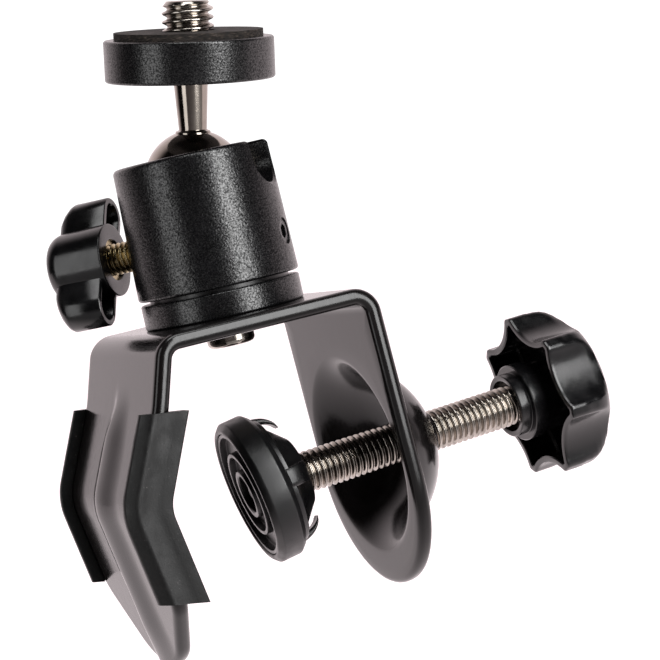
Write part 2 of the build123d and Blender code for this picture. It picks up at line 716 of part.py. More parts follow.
with BuildPart() as top_plate:
    plate_outline = outline(
        stem_plane, (plate_h, tenon_r + running), (plate_h, plate_r), (plate_top, plate_r),
        (plate_top, stud_root), (tenon_h + 0.2, stud_root), (tenon_h + 0.2, tenon_r + running),
    )
    revolve(plate_outline, axis=stem_axis)
    round_rims = top_plate.edges().filter_by(GeomType.CIRCLE)
    plate_rims = round_rims.filter_by(lambda e: e.radius > plate_r - 0.1)
    fillet(plate_rims, radius=0.5)
finish(top_plate.part, "top_plate")

with BuildPart() as top_pad:
    with BuildSketch(across(ball_at, stem_dir, plate_top)):
        Circle(facing_r)
        Circle(stud_r + 0.1, mode=Mode.SUBTRACT)
    extrude(amount=pad_top - plate_top)
finish(top_pad.part, "top_pad")

with BuildPart() as camera_stud:
    stud_outline = outline(
        stem_plane, (tenon_h + 0.2, 0), (tenon_h + 0.2, stud_root), (pad_top, stud_root), (pad_top, stud_r),
        (stud_top - 0.6, stud_r), (stud_top, stud_r - 0.6), (stud_top, 0),
    )
    revolve(stud_outline, axis=stem_axis)
finish(camera_stud.part, "camera_stud")
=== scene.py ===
"""Looks for the screw clamp with its mini ball head. Lengths are millimetres until they are placed."""
import json
import math

import bmesh
import bpy
import numpy as np
from mathutils import Matrix, Vector


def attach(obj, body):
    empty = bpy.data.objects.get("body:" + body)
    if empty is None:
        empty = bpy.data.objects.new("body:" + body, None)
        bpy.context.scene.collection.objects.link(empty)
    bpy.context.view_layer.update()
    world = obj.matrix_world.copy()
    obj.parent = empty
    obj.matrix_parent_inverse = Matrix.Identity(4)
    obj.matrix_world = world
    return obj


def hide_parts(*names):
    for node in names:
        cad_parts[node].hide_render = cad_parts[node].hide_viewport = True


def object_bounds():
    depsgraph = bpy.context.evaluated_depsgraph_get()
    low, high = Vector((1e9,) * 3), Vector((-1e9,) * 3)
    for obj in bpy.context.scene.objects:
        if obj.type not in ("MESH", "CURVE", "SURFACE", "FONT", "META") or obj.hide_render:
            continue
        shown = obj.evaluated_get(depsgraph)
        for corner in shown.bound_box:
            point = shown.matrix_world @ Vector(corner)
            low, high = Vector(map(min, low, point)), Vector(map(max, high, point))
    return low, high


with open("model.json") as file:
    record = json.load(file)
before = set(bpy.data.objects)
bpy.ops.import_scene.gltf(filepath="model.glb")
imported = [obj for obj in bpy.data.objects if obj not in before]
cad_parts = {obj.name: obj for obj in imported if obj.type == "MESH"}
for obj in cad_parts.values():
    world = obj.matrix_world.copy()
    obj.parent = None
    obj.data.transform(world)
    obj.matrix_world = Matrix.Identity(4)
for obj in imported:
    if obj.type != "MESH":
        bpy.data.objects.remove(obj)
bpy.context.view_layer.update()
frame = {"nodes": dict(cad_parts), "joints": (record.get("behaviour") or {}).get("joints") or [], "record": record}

MM = 0.001

# ---- Camera ------------------------------------------------------------------------------------
CAMERA_AZIMUTH = math.radians(-22.56)
CAMERA_ELEVATION = math.radians(4.11)
CAMERA_ROLL = math.radians(12.5)
CAMERA_DISTANCE = 0.38218
CAMERA_TARGET = Vector((0.01998, 0.0, -0.00482))
CAMERA_LENS = 109.09


def make_camera():
    """The camera stands low to the left of the clamp and is rolled."""
    back = Vector((
        math.sin(CAMERA_AZIMUTH) * math.cos(CAMERA_ELEVATION),
        -math.cos(CAMERA_AZIMUTH) * math.cos(CAMERA_ELEVATION),
        math.sin(CAMERA_ELEVATION),
    ))
    right = Vector((0, 0, 1)).cross(back).normalized()
    above = back.cross(right)
    turned_right = math.cos(CAMERA_ROLL) * right - math.sin(CAMERA_ROLL) * above
    turned_up = math.sin(CAMERA_ROLL) * right + math.cos(CAMERA_ROLL) * above
    data = bpy.data.cameras.new("camera")
    data.lens = CAMERA_LENS
    data.clip_start = 0.01
    camera = bpy.data.objects.new("camera", data)
    turn = Matrix((turned_right, turned_up, back)).transposed()
    camera.matrix_world = Matrix.Translation(CAMERA_TARGET + CAMERA_DISTANCE * back) @ turn.to_4x4()
    bpy.context.collection.objects.link(camera)
    bpy.context.scene.camera = camera


# ---- Materials ---------------------------------------------------------------------------------
class Look:
    """A procedural material. Its patterns lie in the object's own space, with sizes in millimetres."""

    def __init__(self, name, metallic=0.0, specular=0.5):
        self.made = bpy.data.materials.new(name)
        self.made.use_nodes = True
        self.nodes = self.made.node_tree.nodes
        self.shader = self.nodes["Principled BSDF"]
        self.shader.inputs["Metallic"].default_value = metallic
        self.shader.inputs["Specular IOR Level"].default_value = specular
        self.place = self.nodes.new("ShaderNodeTexCoord").outputs["Object"]
        self.normal = None

    def wire(self, start, end):
        """A link from one socket to another."""
        self.made.node_tree.links.new(start, end)

    def scaled(self, size):
        """Places counted in pattern sizes: one size, or one for each direction."""
        sizes = size if isinstance(size, tuple) else (size, size, size)
        node = self.nodes.new("ShaderNodeVectorMath")
        node.operation = "MULTIPLY"
        self.wire(self.place, node.inputs[0])
        node.inputs[1].default_value = [1 / (MM * each) for each in sizes]
        return node.outputs[0]

    def noise(self, size, detail):
        """Soft clouds of a size, from 0 to 1."""
        node = self.nodes.new("ShaderNodeTexNoise")
        node.inputs["Scale"].default_value = 1.0
        node.inputs["Detail"].default_value = detail
        self.wire(self.scaled(size), node.inputs["Vector"])
        return node.outputs["Fac"]

    def pebbles(self, size):
        """Rounded cells, high in the middle of each."""
        node = self.nodes.new("ShaderNodeTexVoronoi")
        node.feature = "SMOOTH_F1"
        node.inputs["Scale"].default_value = 1.0
        node.inputs["Smoothness"].default_value = 0.6
        self.wire(self.scaled(size), node.inputs["Vector"])
        flip = self.nodes.new("ShaderNodeMath")
        flip.operation = "SUBTRACT"
        flip.inputs[0].default_value = 1.0
        self.wire(node.outputs["Distance"], flip.inputs[1])
        return flip.outputs[0]

    def spread(self, value, low, high, start=0.35, end=0.65):
        """A value stretched between two numbers."""
        node = self.nodes.new("ShaderNodeMapRange")
        node.inputs["From Min"].default_value = start
        node.inputs["From Max"].default_value = end
        node.inputs["To Min"].default_value = low
        node.inputs["To Max"].default_value = high
        self.wire(value, node.inputs["Value"])
        return node.outputs["Result"]

    def colour(self, value, *stops):
        """The base colour: stops of (place, red, green, blue) along a value."""
        node = self.nodes.new("ShaderNodeValToRGB")
        ramp = node.color_ramp
        while len(ramp.elements) < len(stops):
            ramp.elements.new(1.0)
        for element, (place, *colour) in zip(ramp.elements, stops):
            element.position = place
            element.color = (*colour, 1.0)
        self.wire(value, node.inputs["Fac"])
        self.wire(node.outputs["Color"], self.shader.inputs["Base Color"])

    def rough(self, value, low, high):
        """The roughness, between two numbers along a value."""
        self.wire(self.spread(value, low, high), self.shader.inputs["Roughness"])

    def bump(self, value, height):
        """Relief of a height in millimetres, on top of the relief before it."""
        node = self.nodes.new("ShaderNodeBump")
        node.inputs["Strength"].default_value = 1.0
        node.inputs["Distance"].default_value = MM * height
        self.wire(value, node.inputs["Height"])
        if self.normal:
            self.wire(self.normal, node.inputs["Normal"])
        self.normal = node.outputs["Normal"]
        self.wire(self.normal, self.shader.inputs["Normal"])


def painted_steel():
    """Glossy black paint with faint orange peel, and fine streaks down the sheet."""
    look = Look("painted_steel", specular=0.36)
    streaks = look.noise((0.35, 0.35, 14.0), 3)
    cloud = look.noise(9.0, 4)
    look.colour(cloud, (0.3, 0.003, 0.0026, 0.0026), (0.7, 0.006, 0.005, 0.005))
    look.rough(streaks, 0.13, 0.21)
    look.bump(look.noise(1.3, 1), 0.004)
    look.bump(streaks, 0.0015)
    return look.made


def strip_rubber():
    """Matt black rubber with a fine grain and pale specks of dust."""
    look = Look("strip_rubber", specular=0.3)
    specks = look.noise(0.42, 2)
    look.colour(specks, (0.4, 0.003, 0.003, 0.003), (0.72, 0.006, 0.006, 0.006), (0.82, 0.10, 0.09, 0.09))
    look.rough(look.noise(3.0, 3), 0.36, 0.52)
    look.bump(look.noise(0.3, 3), 0.02)
    return look.made


def plated_steel(name, dark, light, low, high):
    """Plated steel with soft stains and fine scratches."""
    look = Look(name, metallic=1.0)
    look.colour(look.noise(2.2, 5), (0.32, *dark), (0.66, *light))
    look.rough(look.noise((0.25, 0.25, 1.6), 3), low, high)
    look.bump(look.noise(0.35, 3), 0.005)
    return look.made


def polished_steel():
    """The ball: smooth steel with a warm tone, faint clouds and hair scratches."""
    look = Look("polished_steel", metallic=1.0)
    look.colour(look.noise(5.0, 4), (0.3, 0.22, 0.195, 0.17), (0.7, 0.34, 0.305, 0.27))
    look.rough(look.noise((3.0, 3.0, 0.12), 3), 0.07, 0.15)
    look.bump(look.noise((4.0, 4.0, 0.1), 2), 0.002)
    return look.made


def pebbled_black(name, size, height, low, high):
    """Black finish with a pebbled skin, whose shine varies from grain to grain."""
    look = Look(name, specular=0.5)
    look.colour(look.noise(4.0, 4), (0.3, 0.0015, 0.0015, 0.0017), (0.7, 0.0035, 0.0035, 0.004))
    look.rough(look.noise(size * 0.7, 3), low, high)
    look.bump(look.noise(size * 0.8, 1), height)
    look.bump(look.pebbles(size), height * 0.6)
    glints = look.spread(look.noise(size * 0.75, 2), 0.12, 0.8, 0.36, 0.64)
    look.wire(glints, look.shader.inputs["Specular IOR Level"])
    return look.made


def moulded_plastic(name, grain, low, high):
    """Moulded black plastic with a fine spark grain and faint handling marks."""
    look = Look(name, specular=0.5)
    look.colour(look.noise(6.0, 4), (0.3, 0.0015, 0.0015, 0.0017), (0.72, 0.004, 0.004, 0.0045))
    look.rough(look.noise(2.6, 5), low, high)
    look.bump(look.noise(0.32, 2), grain)
    look.bump(look.noise(7.0, 2), 0.03)
    return look.made


def nylon():
    """Black bearing nylon with a fine mould grain."""
    look = Look("nylon", specular=0.45)
    look.colour(look.noise(5.0, 3), (0.3, 0.006, 0.006, 0.006), (0.7, 0.014, 0.013, 0.012))
    look.rough(look.noise(1.5, 3), 0.38, 0.55)
    look.bump(look.noise(0.3, 2), 0.008)
    return look.made


def pad_rubber():
    """The camera plate's facing: pressed cork and rubber, brown-black and fibrous."""
    look = Look("pad_rubber", specular=0.3)
    fibres = look.noise((0.9, 0.9, 0.3), 5)
    look.colour(fibres, (0.38, 0.005, 0.004, 0.0035), (0.58, 0.020, 0.015, 0.012), (0.76, 0.075, 0.06, 0.05))
    look.rough(look.noise(2.0, 3), 0.7, 0.9)
    look.bump(fibres, 0.22)
    return look.made


MATERIALS = {
    "painted_steel": painted_steel(),
    "strip_rubber": strip_rubber(),
    "zinc_steel": plated_steel("zinc_steel", (0.24, 0.22, 0.195), (0.46, 0.42, 0.38), 0.12, 0.24),
    "polished_steel": polished_steel(),
    "cast_black": pebbled_black("cast_black", 0.40, 0.03, 0.22, 0.32),
    "machined_black": pebbled_black("machined_black", 0.38, 0.022, 0.22, 0.32),
    "knob_plastic": moulded_plastic("knob_plastic", 0.006, 0.16, 0.26),
    "pad_plastic": moulded_plastic("pad_plastic", 0.007, 0.26, 0.4),
    "tyre_rubber": moulded_plastic("tyre_rubber", 0.014, 0.34, 0.46),
    "nylon": nylon(),
    "brass": plated_steel("brass", (0.24, 0.19, 0.10), (0.42, 0.34, 0.20), 0.16, 0.3),
    "pad_rubber": pad_rubber(),
}
for row in frame["record"]["subparts"]:
    node = frame["nodes"][row["node"]]
    node.data.materials.clear()
    node.data.materials.append(MATERIALS[row["material_slot"]])


# ---- Mesh building -----------------------------------------------------------------------------
class Spot:
    """A place on the object: an origin, and three directions of which Z is a piece's own axis."""

    def __init__(self, origin, along, above=(0, 0, 1)):
        self.origin = Vector(origin)
        self.z = Vector(along).normalized()
        above = Vector(above)
        self.x = (above - above.dot(self.z) * self.z).normalized()
        self.y = self.z.cross(self.x)

    def at(self, x, y, z):
        return self.origin + MM * (x * self.x + y * self.y + z * self.z)

    def along(self, distance):
        """The same place, moved along its axis by millimetres."""
        return Spot(self.at(0, 0, distance), self.z, self.x)


def piece(name, points, faces, body, look, replaced=(), sharp=32.0):
    """A finished mesh piece from points in metres: welded, its normals outwards and its faces smooth."""
    mesh = bpy.data.meshes.new(name)
    mesh.from_pydata([tuple(point) for point in points], [], faces)
    made = bmesh.new()
    made.from_mesh(mesh)
    bmesh.ops.remove_doubles(made, verts=made.verts, dist=2e-6)
    bmesh.ops.dissolve_degenerate(made, edges=made.edges, dist=1e-7)
    bmesh.ops.recalc_face_normals(made, faces=made.faces)
    made.to_mesh(mesh)
    made.free()
    mesh.shade_smooth()
    mesh.set_sharp_from_angle(angle=math.radians(sharp))
    thing = bpy.data.objects.new(name, mesh)
    bpy.context.collection.objects.link(thing)
    mesh.materials.append(MATERIALS[look])
    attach(thing, body)
    if replaced:
        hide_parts(*replaced)


def skin(rings, closed=True, cap_start=True, cap_end=True, first=0):
    """Faces between rings of equal length, whose points are numbered from first."""
    count = len(rings[0])
    faces = []
    for level in range(len(rings) - 1):
        low, high = first + level * count, first + (level + 1) * count
        for index in range(count if closed else count - 1):
            after = (index + 1) % count
            faces.append((low + index, low + after, high + after, high + index))
    if cap_start:
        faces.append(tuple(range(first, first + count)))
    if cap_end:
        last = first + (len(rings) - 1) * count
        faces.append(tuple(range(last, last + count)))
    return faces


def bezier(start, corner, end, count=5):
    """Points of a soft corner, from start to end."""
    made = []
    for index in range(count + 1):
        t = index / count
        made.append(tuple(
            (1 - t) ** 2 * a + 2 * t * (1 - t) * b + t * t * c for a, b, c in zip(start, corner, end)
        ))
    return made


def curved(rows, count=4):
    """Rows of numbers joined by a smooth curve through them."""
    made = []
    for index in range(len(rows) - 1):
        before = rows[max(index - 1, 0)]
        after = rows[min(index + 2, len(rows) - 1)]
        for k in range(count):
            t = k / count
            row = []
            for a, b, c, d in zip(before, rows[index], rows[index + 1], after):
                square, cube = 2 * a - 5 * b + 4 * c - d, 3 * b - a - 3 * c + d
                row.append(0.5 * (2 * b + (c - a) * t + square * t * t + cube * t ** 3))
            made.append(tuple(row))
    made.append(rows[-1])
    return made


def softened(points, radius, closed=False, count=4):
    """A polyline with its corners rounded; radius is one size or one for each point."""
    radii = radius if isinstance(radius, (list, tuple)) else [radius] * len(points)
    made = []
    for index, point in enumerate(points):
        if not closed and index in (0, len(points) - 1):
            made.append(tuple(point))
            continue
        here = Vector(point)
        before = Vector(points[index - 1]) - here
        after = Vector(points[(index + 1) % len(points)]) - here
        reach = min(radii[index], before.length * 0.49, after.length * 0.49)
        if reach < 1e-4:
            made.append(tuple(point))
            continue
        made += bezier(here + before.normalized() * reach, here, here + after.normalized() * reach, count)
    return made


def turned(name, spot, profile, body, look, replaced=(), steps=96, sharp=32.0):
    """A piece turned round its axis. The profile is a closed or axis-to-axis list of (along, radius)."""
    points, rings = [], []
    for along, radius in profile:
        ring = [
            spot.at(radius * math.cos(math.tau * k / steps), radius * math.sin(math.tau * k / steps), along)
            for k in range(steps)
        ]
        rings.append(ring)
        points += ring
    open_ends = profile[0][1] < 1e-6 and profile[-1][1] < 1e-6
    faces = skin(rings, cap_start=False, cap_end=False)
    if not open_ends:
        last = (len(rings) - 1) * steps
        faces += [(last + k, last + (k + 1) % steps, (k + 1) % steps, k) for k in range(steps)]
    piece(name, points, faces, body, look, replaced, sharp)


THREAD_STEPS, ROWS_PER_TURN = 72, 12
THREAD_DEPTH = 0.61         # of the pitch
CHAMFER = 0.9               # how fast the thread's ends rise to its full radius


def threaded(name, spot, start, end, radius, pitch, body, look, replaced=()):
    """A rolled right-hand thread between two distances along an axis, with chamfered ends."""
    depth = THREAD_DEPTH * pitch
    rows = int((end - start) / pitch * ROWS_PER_TURN) + 1
    points, rings = [], []
    for row in range(rows + 1):
        along = start + (end - start) * row / rows
        limit = min(radius, radius - depth + (along - start) * CHAMFER)
        limit = min(limit, radius - depth + (end - along) * CHAMFER)
        ring = []
        for k in range(THREAD_STEPS):
            angle = math.tau * k / THREAD_STEPS
            phase = (along / pitch - k / THREAD_STEPS) % 1.0
            flank = abs(phase - 0.5) * 2
            rise = min(max((flank - 0.12) / 0.72, 0.0), 1.0)
            rise = rise * rise * (3 - 2 * rise) * 0.45 + rise * 0.55
            size = min(radius - depth * (1 - rise), limit)
            ring.append(spot.at(size * math.cos(angle), size * math.sin(angle), along))
        rings.append(ring)
        points += ring
    piece(name, points, skin(rings), body, look, replaced, sharp=60)


# ---- Where the pieces go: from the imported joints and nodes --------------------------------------
JOINTS = {joint["name"]: joint for joint in frame["joints"]}
DATUM = 20.6                # the screw leg's datum, from the swivel's centre along the clamp screw
HOME = Spot((0, 0, 0), (0, 0, 1), (1, 0, 0))
SCREW = Spot(JOINTS["clamp_turn"]["pos_m"], -Vector(JOINTS["clamp_turn"]["axis"])).along(DATUM)
LOCK = Spot((0, 0, JOINTS["lock_turn"]["pos_m"][2]), -Vector(JOINTS["lock_turn"]["axis"]))
STEM = Spot(JOINTS["front_tilt"]["pos_m"], JOINTS["top_spin"]["axis"], (1, 0, 0))
PAD_LEAN = math.radians(7.7), math.radians(5.8)


def pad_spot():
    """The pressure pad's own axis: the clamp screw's, turned by the pad's lean at rest."""
    along = Matrix.Rotation(-PAD_LEAN[0], 3, "Y") @ -SCREW.z
    along = Matrix.Rotation(-PAD_LEAN[1], 3, "Z") @ along
    return Spot(JOINTS["pad_tilt"]["pos_m"], along)


PAD = pad_spot()


def span(node, spot):
    """Lowest and highest distance of a CAD node along a spot's axis, and its radius, in millimetres."""
    places = np.array([point.co for point in frame["nodes"][node].data.vertices])
    places = (places - np.array(spot.origin)) / MM
    along = places @ np.array(spot.z)
    radius = np.linalg.norm(places - along[:, None] * np.array(spot.z), axis=1)
    return float(along.min()), float(along.max()), float(radius.max())


# ---- The bent frame -----------------------------------------------------------------------------
SHEET = 3.0                 # sheet thickness
HALF_WIDTH = 21.5
EDGE = 1.2                  # rounding of the sheet's edges
BEND = 5.0                  # outer radius of the bends beside the bridge
LEG_TOP = (21.9, 3.0)       # the bends' sharp corners, in X and Z
JAW = [(-20.6, 3.0), (-24.3, -9.0), (-31.7, -25.5), (-26.2, -57.0)]
JAW_BENDS = [BEND, 16.0, 10.0]
JAW_TAPER = -43.3           # where the fixed jaw starts to narrow
OUTLINE_TOP = JAW_TAPER + 6     # below this, the sheet's rows follow the jaw's outline
JAW_TIP = -57.4
LEG_CENTRE = -33.9          # centre of the screw leg's half circle
DOME_R, DOME_BACK, DOME_WALL = 19.0, 6.0, 2.4
COLLAR_END = 13.2
BORE_R = 4.05               # the clamp screw's bore
LEG_FACE = 1.2              # the leg's outer face, from the screw's datum
DISH_TOP, DISH_SOFT = math.radians(71), math.radians(36)    # where the dish's round bottom lies
DISH_EDGE = 19.7            # radius where the dish's soft edge meets the leg's flat inner face
JAW_SIDE = -20              # the fixed jaw lies below this in X
COLUMNS = 56                # faces across the sheet
LEG_STEPS = 84              # faces round the screw leg's free edge


def arc_path(points, radii, turn_step=5.0, run_step=1.2):
    """A polyline in a plane with true arcs at its corners, as (point, tangent) rows."""
    places = [Vector(point) for point in points]
    rows = []

    def run(start, end):
        count = max(1, round((end - start).length / run_step))
        way = (end - start).normalized()
        for k in range(count + 1):
            rows.append((start.lerp(end, k / count), way))

    start = places[0]
    for corner, radius, after in zip(places[1:-1], radii, places[2:]):
        way_in, way_out = (corner - start).normalized(), (after - corner).normalized()
        turn = way_in.angle(way_out)
        reach = radius * math.tan(turn / 2)
        first, last = corner - way_in * reach, corner + way_out * reach
        run(start, first)
        side = 1 if way_in.x * way_out.y - way_in.y * way_out.x > 0 else -1
        centre = first + side * radius * Vector((-way_in.y, way_in.x))
        count = max(3, round(math.degrees(turn) / turn_step))
        for k in range(1, count):
            spin = Matrix.Rotation(side * turn * k / count, 2)
            rows.append((centre + spin @ (first - centre), spin @ way_in))
        start = last
    run(start, places[-1])
    kept = [rows[0]]
    for row in rows[1:]:
        if (row[0] - kept[-1][0]).length > 0.02:
            kept.append(row)
    return kept


def smooth(low, high, value):
    """From 0 at low to 1 at high, with soft ends."""
    t = min(max((value - low) / (high - low), 0.0), 1.0)
    return t * t * (3 - 2 * t)


def bead(y, z):
    """How far the pressed stiffening bead stands out of the fixed jaw."""
    rise = smooth(-5.0, -15.0, z) * (1 - 0.35 * smooth(-48.0, -57.0, z))
    half = 2.4 + 1.5 * smooth(-8.0, -18.0, z) + 0.9 * smooth(-40.0, -54.0, z)
    crease = smooth(-10.0, -14.0, z) * (1 - smooth(-38.0, -43.0, z))
    if y > 0:
        steep = 1 - smooth(half - 0.9, half - 0.1, y)
        soft = math.cos(math.pi / 2 * min(y / half, 1.0)) ** 2
        shape = soft + (steep * (0.55 + 0.45 * soft) - soft) * crease
        groove = 0.28 * crease * math.exp(-((y - half - 0.25) / 0.35) ** 2)
        return 1.2 * rise * shape - groove
    return 1.2 * rise * math.cos(math.pi / 2 * min(-y / (half + 5.0), 1.0)) ** 2


def jaw_edge():
    """The fixed jaw's outline below the taper: (half width, z, sideways normal, downward normal)."""
    corners = [(HALF_WIDTH, OUTLINE_TOP), (HALF_WIDTH, JAW_TAPER), (7.0, JAW_TIP), (0.0, JAW_TIP)]
    rows = arc_path(corners, [9.0, 14.0], turn_step=4.0, run_step=1.0)
    made = []
    for place, way in rows:
        normal = (-way.y, way.x)
        made.append((place.x - EDGE * normal[0], place.y - EDGE * normal[1], normal[0], -normal[1]))
    return [row for row in made if row[0] > 0.9]


def rim(outer, normal, outward):
    """Points round the sheet's edge, from its outer face to its inner face."""
    made = []
    for k in range(5):
        t = math.pi / 2 * k / 4
        made.append(outer + MM * (EDGE * math.sin(t) * outward - EDGE * (1 - math.cos(t)) * normal))
    inner = outer - MM * SHEET * normal
    for k in range(4, -1, -1):
        t = math.pi / 2 * k / 4
        made.append(inner + MM * (EDGE * math.sin(t) * outward + EDGE * (1 - math.cos(t)) * normal))
    return made


def dome_profile():
    """The pressed dome from the leg's outer face to its inner face, as (along, radius)."""
    face, back = LEG_FACE, LEG_FACE - SHEET
    base = math.sqrt(DOME_R ** 2 - (face + DOME_BACK) ** 2)
    inner_r = DOME_R - DOME_WALL
    outer = [(face, base + 1.6), (face + 0.15, base + 0.7), (face + 0.6, base + 0.05)]
    for k in range(14):
        t = math.radians(27 + 44 * k / 13)
        outer.append((DOME_R * math.sin(t) - DOME_BACK, DOME_R * math.cos(t)))
    neck = [(12.15, 5.1), (12.4, 4.95), (COLLAR_END - 0.25, 4.85), (COLLAR_END, 4.65), (COLLAR_END, BORE_R)]
    bore = [(DOME_R - DOME_WALL - DOME_BACK + 0.2, BORE_R), (inner_r - DOME_BACK - 0.5, 4.3)]
    inner = []
    for k in range(12):
        t = DISH_TOP - (DISH_TOP - DISH_SOFT) * k / 11
        inner.append((inner_r * math.sin(t) - DOME_BACK, inner_r * math.cos(t)))
    start = inner.pop()
    corner_r = start[1] + (start[0] - back) * math.tan(DISH_SOFT)
    inner += bezier(start, (back, corner_r), (back, DISH_EDGE), 14)
    return [point for point in outer + neck + bore + inner if point[1] >= BORE_R]


def sheet_rows():
    """Rows from the screw leg's bend to the jaw's tip: place, way, half width and the rim's direction."""
    corner = Vector(LEG_TOP)
    down = Vector((-SCREW.x.x, -SCREW.x.z))
    # the path starts some way down the leg, and its rows are kept from the bend onwards
    path = [tuple(corner + 12 * down), LEG_TOP] + JAW
    rows = arc_path(path, [BEND] + JAW_BENDS)
    turn = (-down).angle(Vector((-1, 0)))
    top = corner + down * BEND * math.tan(turn / 2)
    rows = [row for row in rows if row[0].x < top.x - 0.01 or row[0].y > top.y]
    rows = [(top, -down)] + [row for row in rows if (row[0] - top).length > 0.3]
    made = []
    for place, way in rows:
        if not (place.x < JAW_SIDE and place.y < OUTLINE_TOP):
            made.append((place, way, HALF_WIDTH - EDGE, 1.0, 0.0))
    start, end = Vector(JAW[2]), Vector(JAW[3])
    way = (end - start).normalized()
    for half, z, across, below in jaw_edge():
        place = start + way * (z - start.y) / way.y
        made.append((place, way, half, across, below))
    return made


def sheet_row(place, way, half, across, below):
    """Points across the sheet's outer face and its inner face, and round its two edges."""
    normal = Vector((way.y, 0, -way.x))
    forward = Vector((way.x, 0, way.y))
    outer = []
    for k in range(COLUMNS + 1):
        y = half * (2 * k / COLUMNS - 1)
        raised = bead(y, place.y) if place.x < JAW_SIDE else 0.0
        outer.append(HOME.at(place.x, y, place.y) + MM * raised * normal)
    inner = [point - MM * SHEET * normal for point in outer]
    left = rim(outer[0], normal, Vector((0, -across, 0)) + below * forward)
    right = rim(outer[-1], normal, Vector((0, across, 0)) + below * forward)
    return outer, inner, left, right


def leg_edge(bend_row):
    """The screw leg's free edge, by rays from the screw's axis: (point, outward direction)."""
    centre = (LEG_CENTRE * MM - SCREW.origin.z) / MM
    corner = bend_row[-1] - SCREW.origin
    begin = math.atan2(SCREW.y.dot(corner) / MM, SCREW.x.dot(corner) / MM)
    face = SCREW.z.dot(bend_row[0] - SCREW.origin) / MM
    inset = HALF_WIDTH - EDGE
    made = []
    for k in range(1, LEG_STEPS):
        angle = begin + (-2 * math.pi - 2 * begin) * k / LEG_STEPS
        u, v = math.cos(angle), math.sin(angle)
        reach = inset / abs(v) if abs(v) > 1e-6 else 1e9
        if u * reach < centre:
            across = u * centre
            reach = across + math.sqrt(across ** 2 - centre ** 2 + inset ** 2)
        x, y = reach * u, reach * v
        if x > centre:
            out = Vector((0, math.copysign(1, v)))
        else:
            out = Vector((x - centre, y)).normalized()
        made.append((SCREW.at(x, y, face), out.x * SCREW.x + out.y * SCREW.y))
    return made


def leg_rings(outline):
    """Rings over the screw leg: from its outline over the dome, through the bore and back out inside."""
    turns = []
    for point in outline:
        seen = point - SCREW.origin
        turns.append(math.atan2(SCREW.y.dot(seen), SCREW.x.dot(seen)))
    dome = []
    for along, radius in dome_profile():
        dome.append([SCREW.at(radius * math.cos(t), radius * math.sin(t), along) for t in turns])
    back = [point - MM * SHEET * SCREW.z for point in outline]
    rings = [outline]
    for share in (0.35, 0.7):
        rings.append([a.lerp(b, share) for a, b in zip(outline, dome[0])])
    rings += dome
    for share in (0.3, 0.65):
        rings.append([a.lerp(b, share) for a, b in zip(dome[-1], back)])
    rings.append(back)
    return rings


def frame_sheet():
    """The bent sheet in one skin: the bridge and fixed jaw in rows, the screw leg in rings."""
    rows = sheet_rows()
    outer, inner, left, right = zip(*[sheet_row(*row) for row in rows])
    way = rows[-1][1]
    tip_normal, tip_way = Vector((way.y, 0, -way.x)), Vector((way.x, 0, way.y))
    tip = [rim(point, tip_normal, tip_way) for point in outer[-1]]
    bend_row = outer[0]
    edge = leg_edge(bend_row)
    leg_rim = [rim(bend_row[-1], SCREW.z, Vector((0, 1, 0)))]
    leg_rim += [rim(point, SCREW.z, out) for point, out in edge]
    leg_rim.append(rim(bend_row[0], SCREW.z, Vector((0, -1, 0))))
    rings = leg_rings(bend_row + [point for point, _ in edge])
    points, faces = [], []
    for part in (outer, inner, left, right, tip, leg_rim, rings):
        faces += skin(part, closed=part is rings, cap_start=False, cap_end=False, first=len(points))
        points += [point for row in part for point in row]
    piece("frame_sheet", points, faces, "frame", "painted_steel", ["clamp_frame"], sharp=40)


# ---- The rubber strips ----------------------------------------------------------------------------
STRIP_TOP, STRIP_LOW = -9.4, -42.3      # the strips' ends at their outer face
STRIP_CUTS = (1.2, 1.7)                 # how much lower each end is at the inner lip
FLAP_OUT, LIP_IN = 2.3, 6.0             # how far the section reaches outside and inside the jaw
STRIP_BEND = 7.0                        # least radius where the strip follows the jaw's bend
# the strip's section: (sideways, outside the jaw), and how soft each corner is
STRIP_SECTION = [
    (19.1, -3.06), (21.56, -3.06), (21.56, 0.06), (19.9, 0.06), (19.9, 2.3), (21.2, 2.3), (22.7, 0.35),
    (22.42, -1.6), (22.36, -3.2), (22.7, -6.0), (19.1, -6.0),
]
STRIP_SOFT = [0.1, 0.1, 0.1, 0.15, 0.35, 0.5, 0.6, 0.8, 0.8, 0.35, 0.4]


def jaw_rows(distance):
    """The strip's line at a distance outside the jaw, cut at both ends."""
    shoulder, hollow, tip = (Vector(point) for point in JAW[1:])
    first, second = (hollow - shoulder).normalized(), (tip - hollow).normalized()
    normals = [Vector((way.y, -way.x)) for way in (first, second)]
    middle = normals[0] + normals[1]
    corner = hollow + middle * distance / (1 + normals[0].dot(normals[1]))
    share = (FLAP_OUT - distance) / (FLAP_OUT + LIP_IN)
    begin = STRIP_TOP - share * STRIP_CUTS[0]
    end = STRIP_LOW - share * STRIP_CUTS[1]
    start = corner - first * (begin - corner.y) / -first.y
    stop = corner + second * (end - corner.y) / second.y
    turn = first.angle(second)
    radius = max(JAW_BENDS[2] + distance, STRIP_BEND)
    reach = radius * math.tan(turn / 2)
    rows = [start.lerp(corner - first * reach, k / 14) for k in range(15)]
    centre = corner - first * reach - radius * normals[0]
    for k in range(1, 10):
        spin = Matrix.Rotation(turn * k / 10, 2)
        rows.append(centre + spin @ (radius * normals[0]))
    rows += [(corner + second * reach).lerp(stop, k / 14) for k in range(15)]
    return rows


